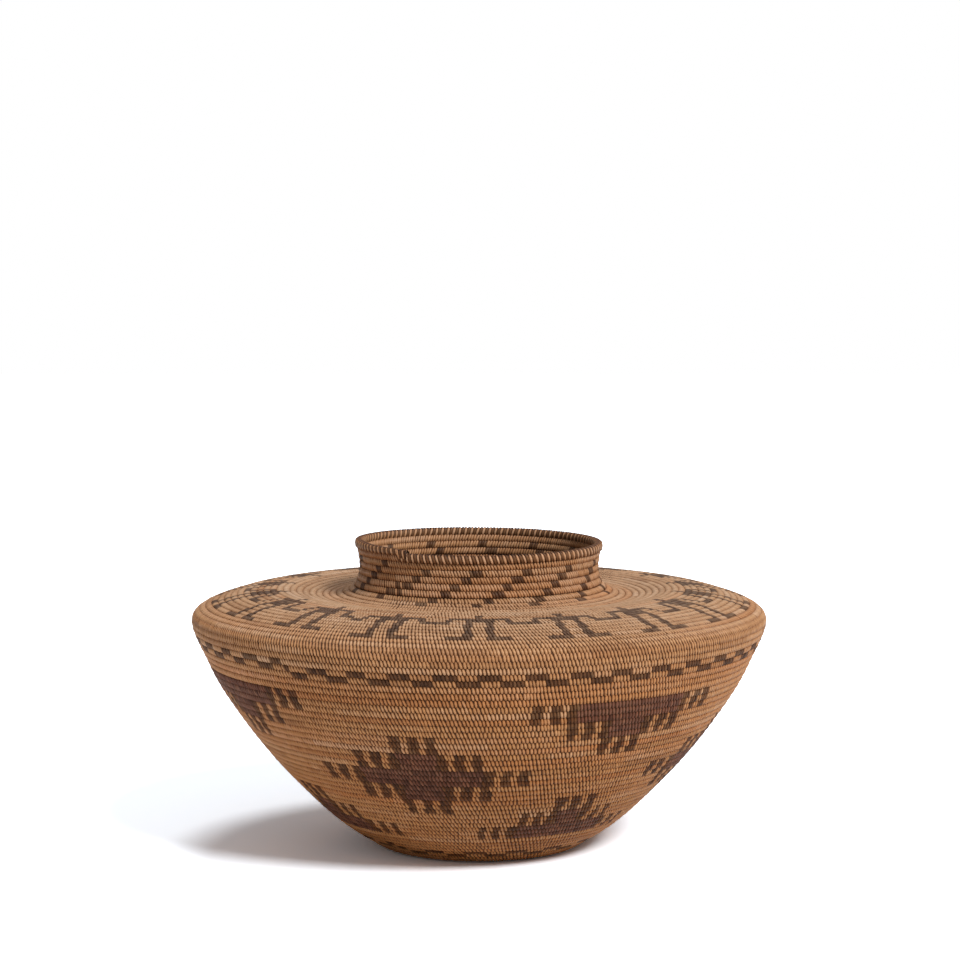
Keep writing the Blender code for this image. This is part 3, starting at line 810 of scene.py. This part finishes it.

# Finishes: the pattern of the fibres, the tint of redder strand, the tint of painted shade deep
# between the stitches, dust, grass darkened as painted shade, and the depths of their fine relief
FIBRES_ACROSS = 5.0
FIBRES_ALONG = 2.6
STREAKS_ACROSS = 1.3
SEED_STEP = 91.0
RED_TINT = (0.93, 0.68, 0.48)
PAINTED_SHADE_TINT = (1.0, 0.62, 0.36)
DUST_COLOUR = (0.46, 0.38, 0.30)
# Grass coloured much darker than dry grass, as painted shade in the gaps between the stitches
# where it is seen
DARK_GRASS_IN_PAINTED_SHADE = (0.045, 0.014, 0.003)
PALE_GRASS_IN_PAINTED_SHADE = (0.12, 0.045, 0.012)
POLISH = 0.14
FIBRE_RELIEF = 0.00012
STALK_RELIEF = 0.0002


def strand_grain_group():
    """Fibres along a split strand: fine lines across its width, slow changes along it."""
    tree, given, result = new_group(
        "Strand grain",
        (("Strand", VECTOR, None), ("Seed", FLOAT, 0), ("Fibres", FLOAT, FIBRES_ACROSS)),
        (("Fibre", FLOAT), ("Streak", FLOAT)),
    )
    apart = put(tree, "ShaderNodeSeparateXYZ", {0: given["Strand"]})
    across = maths(tree, "MULTIPLY", apart.outputs[0], given["Fibres"])
    lengthwise = maths(tree, "MULTIPLY", apart.outputs[1], FIBRES_ALONG)
    offset = maths(tree, "MULTIPLY", given["Seed"], SEED_STEP)
    place = put(tree, "ShaderNodeCombineXYZ", {0: across, 1: lengthwise, 2: offset})
    fine = put(tree, "ShaderNodeTexNoise",
               {"Vector": place.outputs[0], "Scale": 1.6, "Detail": 3.0, "Roughness": 0.65})
    tree.links.new(fine.outputs[0], result["Fibre"])
    slow_across = maths(tree, "MULTIPLY", apart.outputs[0], STREAKS_ACROSS)
    slow_place = put(tree, "ShaderNodeCombineXYZ", {0: slow_across, 1: lengthwise, 2: offset})
    slow = put(tree, "ShaderNodeTexNoise",
               {"Vector": slow_place.outputs[0], "Scale": 1.1, "Detail": 1.0, "Roughness": 0.5})
    streak = put(tree, "ShaderNodeMapRange",
                 {"Value": slow.outputs[0], "From Min": 0.35, "From Max": 0.68})
    tree.links.new(streak.outputs[0], result["Streak"])
    return tree


def strand_colour_group():
    """A strand's colour from its darkest, middle and palest tone, its grain, and painted shade
    where it lies deep between its neighbours.
    """
    tree, given, result = new_group(
        "Strand colour",
        (("Dark", COLOUR, None), ("Middle", COLOUR, None), ("Pale", COLOUR, None),
         ("Tone", FLOAT, 0.5), ("Fibre", FLOAT, 0.5), ("Streak", FLOAT, 0.5),
         ("Grain", FLOAT, 0.3), ("Red", FLOAT, 0), ("Red Tint", COLOUR, None),
         ("Pit", FLOAT, 0), ("Painted Shade Colour", COLOUR, None), ("Painted Shade Tint", COLOUR, None)),
        (("Colour", COLOUR),),
    )
    low = put(tree, "ShaderNodeMapRange", {"Value": given["Tone"], "From Max": 0.5})
    high = put(tree, "ShaderNodeMapRange", {"Value": given["Tone"], "From Min": 0.5})
    base = mixed(tree, low.outputs[0], given["Dark"], given["Middle"])
    base = mixed(tree, high.outputs[0], base, given["Pale"])
    base = mixed(tree, given["Red"], base, given["Red Tint"], blend="MULTIPLY")
    fibre = maths(tree, "MULTIPLY_ADD", given["Fibre"], 2.0, -1.0)
    streak = maths(tree, "MULTIPLY_ADD", given["Streak"], 1.0, -0.5)
    lines = maths(tree, "ADD", fibre, streak)
    brightness = maths(tree, "MULTIPLY_ADD", lines, given["Grain"], 1.0)
    lined = put(tree, "ShaderNodeVectorMath", {0: base}, operation="SCALE")
    tree.links.new(brightness, lined.inputs["Scale"])
    # Painted shade: darker and redder, and at the deepest nearly black, where the stitch lies deep
    # between its neighbours
    deeper = mixed(tree, given["Pit"], lined.outputs[0], given["Painted Shade Tint"], blend="MULTIPLY")
    tree.links.new(mixed(tree, given["Pit"], deeper, given["Painted Shade Colour"]), result["Colour"])
    return tree


def handling_group():
    """Polish where hands have rubbed the crests, and dust settled in patches on the faces that
    look up.
    """
    tree, given, result = new_group(
        "Handling and dust",
        (("Colour", COLOUR, None), ("Pit", FLOAT, 0), ("Dust", FLOAT, 0.1),
         ("Roughness", FLOAT, 0.5), ("Polish", FLOAT, 0.12)),
        (("Colour", COLOUR), ("Roughness", FLOAT)),
    )
    place = put(tree, "ShaderNodeTexCoord")
    patches = put(tree, "ShaderNodeTexNoise",
                  {"Vector": place.outputs["Object"], "Scale": 22.0, "Detail": 3.0})
    worn = put(tree, "ShaderNodeMapRange",
               {"Value": patches.outputs[0], "From Min": 0.4, "From Max": 0.65})
    crest = maths(tree, "SUBTRACT", 1.0, given["Pit"], clamp=True)
    rubbed = maths(tree, "MULTIPLY", worn.outputs[0], crest)
    less = maths(tree, "MULTIPLY", rubbed, given["Polish"])
    tree.links.new(maths(tree, "SUBTRACT", given["Roughness"], less, clamp=True),
                   result["Roughness"])
    normal = put(tree, "ShaderNodeNewGeometry")
    upright = put(tree, "ShaderNodeSeparateXYZ", {0: normal.outputs["Normal"]})
    facing_up = maths(tree, "MULTIPLY", upright.outputs[2], given["Dust"], clamp=True)
    settled = maths(tree, "MULTIPLY", facing_up, patches.outputs[0])
    dusty = mixed(tree, settled, given["Colour"], DUST_COLOUR)
    tree.links.new(dusty, result["Colour"])
    return tree


GRAIN_GROUP = strand_grain_group()
COLOUR_GROUP = strand_colour_group()
HANDLING_GROUP = handling_group()


def use_group(tree, group, inputs):
    made = put(tree, "ShaderNodeGroup", node_tree=group)
    for name, value in inputs.items():
        if isinstance(value, bpy.types.NodeSocket):
            tree.links.new(value, made.inputs[name])
        elif isinstance(value, tuple):
            made.inputs[name].default_value = (*value, 1)
        else:
            made.inputs[name].default_value = value
    return made.outputs


def value_of(tree, name):
    return put(tree, "ShaderNodeAttribute", attribute_name=name).outputs["Fac"]


def strand_material(name, cool, warm, painted_shade_colour, grain, roughness, dust, bump, gloss):
    """Split root or bark: cool and warm are its dark, middle and pale colours where it is bleached
    and greyed, on the shoulder partly as painted sheen of the light from above, and where it has
    kept its own colour."""
    made = bpy.data.materials.new(name)
    made.use_nodes = True
    tree = made.node_tree
    shader = tree.nodes["Principled BSDF"]
    shader.inputs["Specular IOR Level"].default_value = gloss
    strand = put(tree, "ShaderNodeUVMap", uv_map="strand").outputs[0]
    tone = value_of(tree, "tone")
    seed = value_of(tree, "seed")
    pit = value_of(tree, "pit")
    warmth = value_of(tree, "warmth")
    lines = use_group(tree, GRAIN_GROUP, {
        "Strand": strand, "Seed": seed, "Fibres": FIBRES_ACROSS})
    shades = [mixed(tree, warmth, a, b) for a, b in zip(cool, warm)]
    colour = use_group(tree, COLOUR_GROUP, {
        "Dark": shades[0], "Middle": shades[1], "Pale": shades[2], "Tone": tone,
        "Fibre": lines["Fibre"], "Streak": lines["Streak"], "Grain": grain,
        "Red": value_of(tree, "red"), "Red Tint": RED_TINT,
        "Pit": pit, "Painted Shade Colour": painted_shade_colour, "Painted Shade Tint": PAINTED_SHADE_TINT})
    worn = use_group(tree, HANDLING_GROUP, {
        "Colour": colour["Colour"], "Pit": pit, "Dust": dust, "Roughness": roughness,
        "Polish": POLISH})
    tree.links.new(worn["Colour"], shader.inputs["Base Color"])
    tree.links.new(worn["Roughness"], shader.inputs["Roughness"])
    relief = put(tree, "ShaderNodeBump",
                 {"Height": lines["Fibre"], "Strength": bump, "Distance": FIBRE_RELIEF})
    tree.links.new(relief.outputs[0], shader.inputs["Normal"])
    return made


def grass_material():
    """Dry grass stalks lying along the coil, darkened as painted shade of the gaps they are seen
    through.
    """
    made = bpy.data.materials.new("foundation_grass")
    made.use_nodes = True
    tree = made.node_tree
    shader = tree.nodes["Principled BSDF"]
    place = put(tree, "ShaderNodeTexCoord").outputs["Object"]
    stalks = put(tree, "ShaderNodeTexNoise", {"Vector": place, "Scale": 900.0, "Detail": 2.0})
    colour = mixed(tree, stalks.outputs[0], DARK_GRASS_IN_PAINTED_SHADE, PALE_GRASS_IN_PAINTED_SHADE)
    tree.links.new(colour, shader.inputs["Base Color"])
    shader.inputs["Roughness"].default_value = 0.85
    relief = put(tree, "ShaderNodeBump",
                 {"Height": stalks.outputs[0], "Strength": 0.5, "Distance": STALK_RELIEF})
    tree.links.new(relief.outputs[0], shader.inputs["Normal"])
    return made


def build_basket():
    sedge = strand_material(
        "sedge_root",
        cool=((0.38, 0.220, 0.122), (0.62, 0.412, 0.253), (0.75, 0.57, 0.42)),
        warm=((0.35, 0.142, 0.043), (0.63, 0.306, 0.112), (0.75, 0.465, 0.27)),
        painted_shade_colour=(0.030, 0.006, 0.0006),
        grain=0.20, roughness=0.46, dust=0.05, bump=0.6, gloss=0.18)
    bracken = strand_material(
        "bracken_root",
        cool=((0.090, 0.058, 0.041), (0.164, 0.109, 0.078), (0.28, 0.195, 0.130)),
        warm=((0.075, 0.028, 0.0075), (0.173, 0.065, 0.014), (0.205, 0.098, 0.037)),
        painted_shade_colour=(0.012, 0.003, 0.001),
        grain=0.38, roughness=0.50, dust=0.03, bump=0.6, gloss=0.16)
    redbud = strand_material(
        "redbud_bark",
        cool=((0.101, 0.043, 0.028), (0.220, 0.098, 0.064), (0.285, 0.137, 0.086)),
        warm=((0.101, 0.038, 0.020), (0.220, 0.094, 0.056), (0.295, 0.137, 0.077)),
        painted_shade_colour=(0.014, 0.003, 0.001),
        grain=0.34, roughness=0.5, dust=0.03, bump=0.5, gloss=0.16)
    grass = grass_material()

    stitches = all_stitches()
    # Less warmth on the shoulder: partly painted sheen of the light from above
    stitches["warmth"] = np.interp(stitches["length"], WARMTH_AND_SHEEN_LENGTHS, WARMTHS_AND_PAINTED_SHEEN)
    turn = stitches["turn"]
    colour = stitches["colour"]
    base_dash = course_at(BASE_DASH_LENGTHS[0], 0)
    wall_foot = base_dash + len(BASE_DASH_LENGTHS)
    wall_dash = WALL_DASH_COURSES[0]
    bulge_foot = wall_dash + len(WALL_DASH_COURSES)
    zones = (
        ("base_sewing", TURNS[0], base_dash, ("sewing_base", "sewing_heel")),
        ("base_dash_ground", base_dash, wall_foot, ("base_dash_courses",)),
        ("wall_sewing", wall_foot, wall_dash, ("sewing_wall",)),
        ("wall_dash_ground", wall_dash, bulge_foot, ("wall_dash_courses",)),
        ("bulge_sewing", bulge_foot, BULGE_TOP_COURSE, ("sewing_bulge",)),
        ("shoulder_sewing", BULGE_TOP_COURSE, INNER_SHOULDER_COURSE,
         ("sewing_outer_shoulder",)),
        ("inner_shoulder_sewing", INNER_SHOULDER_COURSE, 0, ("sewing_inner_shoulder",)),
        ("neck_sewing", 0, NECK_COURSES + 1, ("neck_coil",)),
    )
    for name, low, high, nodes in zones:
        here = (turn >= low) & (turn < high)
        sewn_pieces(name, stitches, here & (colour == SEDGE), sedge, nodes)
    base = turn < wall_foot
    wall = (turn >= wall_foot) & (turn < wall_dash)
    dashes = (turn >= wall_dash) & (turn < bulge_foot)
    shoulder = (turn >= bulge_foot) & (turn < 0)
    neck = turn >= 0
    dark = colour == BRACKEN
    motifs = [f"{ring}_motif_{k + 1}" for ring in ("lower", "middle", "upper")
              for k in range(MOTIFS_AROUND)]
    sewn_pieces("base_dashes", stitches, base & dark, bracken, ("base_dash_courses",))
    sewn_pieces("wall_dashes", stitches, dashes & dark, bracken,
                ("wall_dash_courses",))
    sewn_pieces("motif_teeth_and_margins", stitches, wall & dark, bracken, motifs)
    sewn_pieces("motif_bodies", stitches, wall & (colour == REDBUD), redbud, motifs)
    sewn_pieces("linked_figures", stitches, shoulder & dark, bracken,
                ("figure_chain",))
    sewn_pieces("neck_blocks", stitches, neck & dark, bracken, ("neck_coil",))

    rim = rim_stitches()
    sewn_pieces("rim_dark_ticks", rim, rim["colour"] == BRACKEN, bracken,
                ("rim_coil",))
    sewn_pieces("rim_light_ticks", rim, rim["colour"] == SEDGE, sedge, ("rim_coil",))
    binding = end_binding()
    sewn_pieces("rim_end_binding_dark", binding, binding["colour"] == BRACKEN, bracken,
                ())
    sewn_pieces("rim_end_binding_light", binding, binding["colour"] == SEDGE, sedge,
                ())

    bands = (
        ("grass_coil_base", TURNS[0], base_dash, ("foundation_base", "foundation_heel")),
        ("grass_coil_wall", base_dash, wall_dash,
         ("foundation_lower_wall", "foundation_upper_wall")),
        ("grass_coil_shoulder", wall_dash, 0,
         ("foundation_bulge", "foundation_outer_shoulder", "foundation_inner_shoulder")),
        ("grass_coil_neck", 0, NECK_COURSES, ("neck_coil",)),
    )
    for name, first, last, nodes in bands:
        grass_coil(name, first, last, grass, nodes)
    rim_grass(grass)
    start_knot(grass)


def start_knot(finish):
    """The knot of grass in the middle that the spiral starts from."""
    mesh = bpy.data.meshes.new("knot_of_grass")
    made = bpy.data.objects.new("knot_of_grass", mesh)
    ball = bmesh.new()
    bmesh.ops.create_uvsphere(ball, u_segments=24, v_segments=12, radius=1)
    for vert in ball.verts:
        vert.co = Vector((vert.co.x * KNOT_RADIUS, vert.co.y * KNOT_RADIUS,
                          HALF_THICKNESS + vert.co.z * (HALF_THICKNESS - KNOT_INSET)))
    ball.to_mesh(mesh)
    ball.free()
    mesh.shade_smooth()
    mesh.materials.append(finish)
    bpy.context.scene.collection.objects.link(made)
    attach(made, "root")
    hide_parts("start_knot")


# Studio: the camera, the floor, and each lamp's direction round and up, softness and strength
CAMERA_PLACE = Vector((0.0005, -1.3595, 0.3064))
CAMERA_TILT = math.radians(4.724)
CAMERA_LENS = 96.15
SENSOR = 36.0
CAMERA_REACH = 100
FLOOR_SIZE = 12.0
FLOOR_DROP = 0.0002
LAMPS = (
    ("front_lamp", math.radians(39.5), math.radians(43.5), math.radians(16), 2.48),
    ("back_lamp", math.radians(173), math.radians(75), math.radians(16), 0.885),
)
FILL_STRENGTH = 0.235
FLOOR_LEVEL = 0.95
FLOOR_SEEN_COLOUR = (1.96, 2.08, 2.22)


def studio():
    scene = bpy.context.scene
    scene.view_settings.view_transform = "Standard"
    lens = bpy.data.cameras.new("camera")
    lens.lens = CAMERA_LENS
    lens.sensor_width = SENSOR
    lens.clip_end = CAMERA_REACH
    camera = bpy.data.objects.new("camera", lens)
    camera.location = CAMERA_PLACE
    camera.rotation_euler = (math.pi / 2 - CAMERA_TILT, 0, 0)
    scene.collection.objects.link(camera)
    scene.camera = camera

    for name, azimuth, elevation, softness, strength in LAMPS:
        lamp = bpy.data.lights.new(name, "SUN")
        lamp.energy = strength
        lamp.angle = softness
        made = bpy.data.objects.new(name, lamp)
        towards = Vector((math.sin(azimuth) * math.cos(elevation),
                          -math.cos(azimuth) * math.cos(elevation),
                          math.sin(elevation)))
        made.rotation_euler = towards.to_track_quat("Z", "Y").to_euler()
        scene.collection.objects.link(made)

    world = bpy.data.worlds.new("studio")
    world.use_nodes = True
    scene.world = world
    tree = world.node_tree
    background = tree.nodes["Background"]
    path = tree.nodes.new("ShaderNodeLightPath")
    strength = maths(tree, "MULTIPLY_ADD", path.outputs["Is Camera Ray"], 1 - FILL_STRENGTH,
                     FILL_STRENGTH)
    background.inputs["Color"].default_value = (1, 1, 1, 1)
    tree.links.new(strength, background.inputs["Strength"])

    bpy.ops.mesh.primitive_plane_add(size=FLOOR_SIZE, location=(0, 0, -FLOOR_DROP))
    floor = bpy.context.object
    floor.name = "floor"
    finish = bpy.data.materials.new("floor_paper")
    finish.use_nodes = True
    tree = finish.node_tree
    tree.nodes.clear()
    path = tree.nodes.new("ShaderNodeLightPath")
    shade = mixed(tree, path.outputs["Is Camera Ray"], (FLOOR_LEVEL,) * 3, FLOOR_SEEN_COLOUR)
    paper = put(tree, "ShaderNodeBsdfDiffuse", {"Color": shade})
    result = put(tree, "ShaderNodeOutputMaterial")
    tree.links.new(paper.outputs[0], result.inputs["Surface"])
    floor.data.materials.append(finish)


build_basket()
studio()
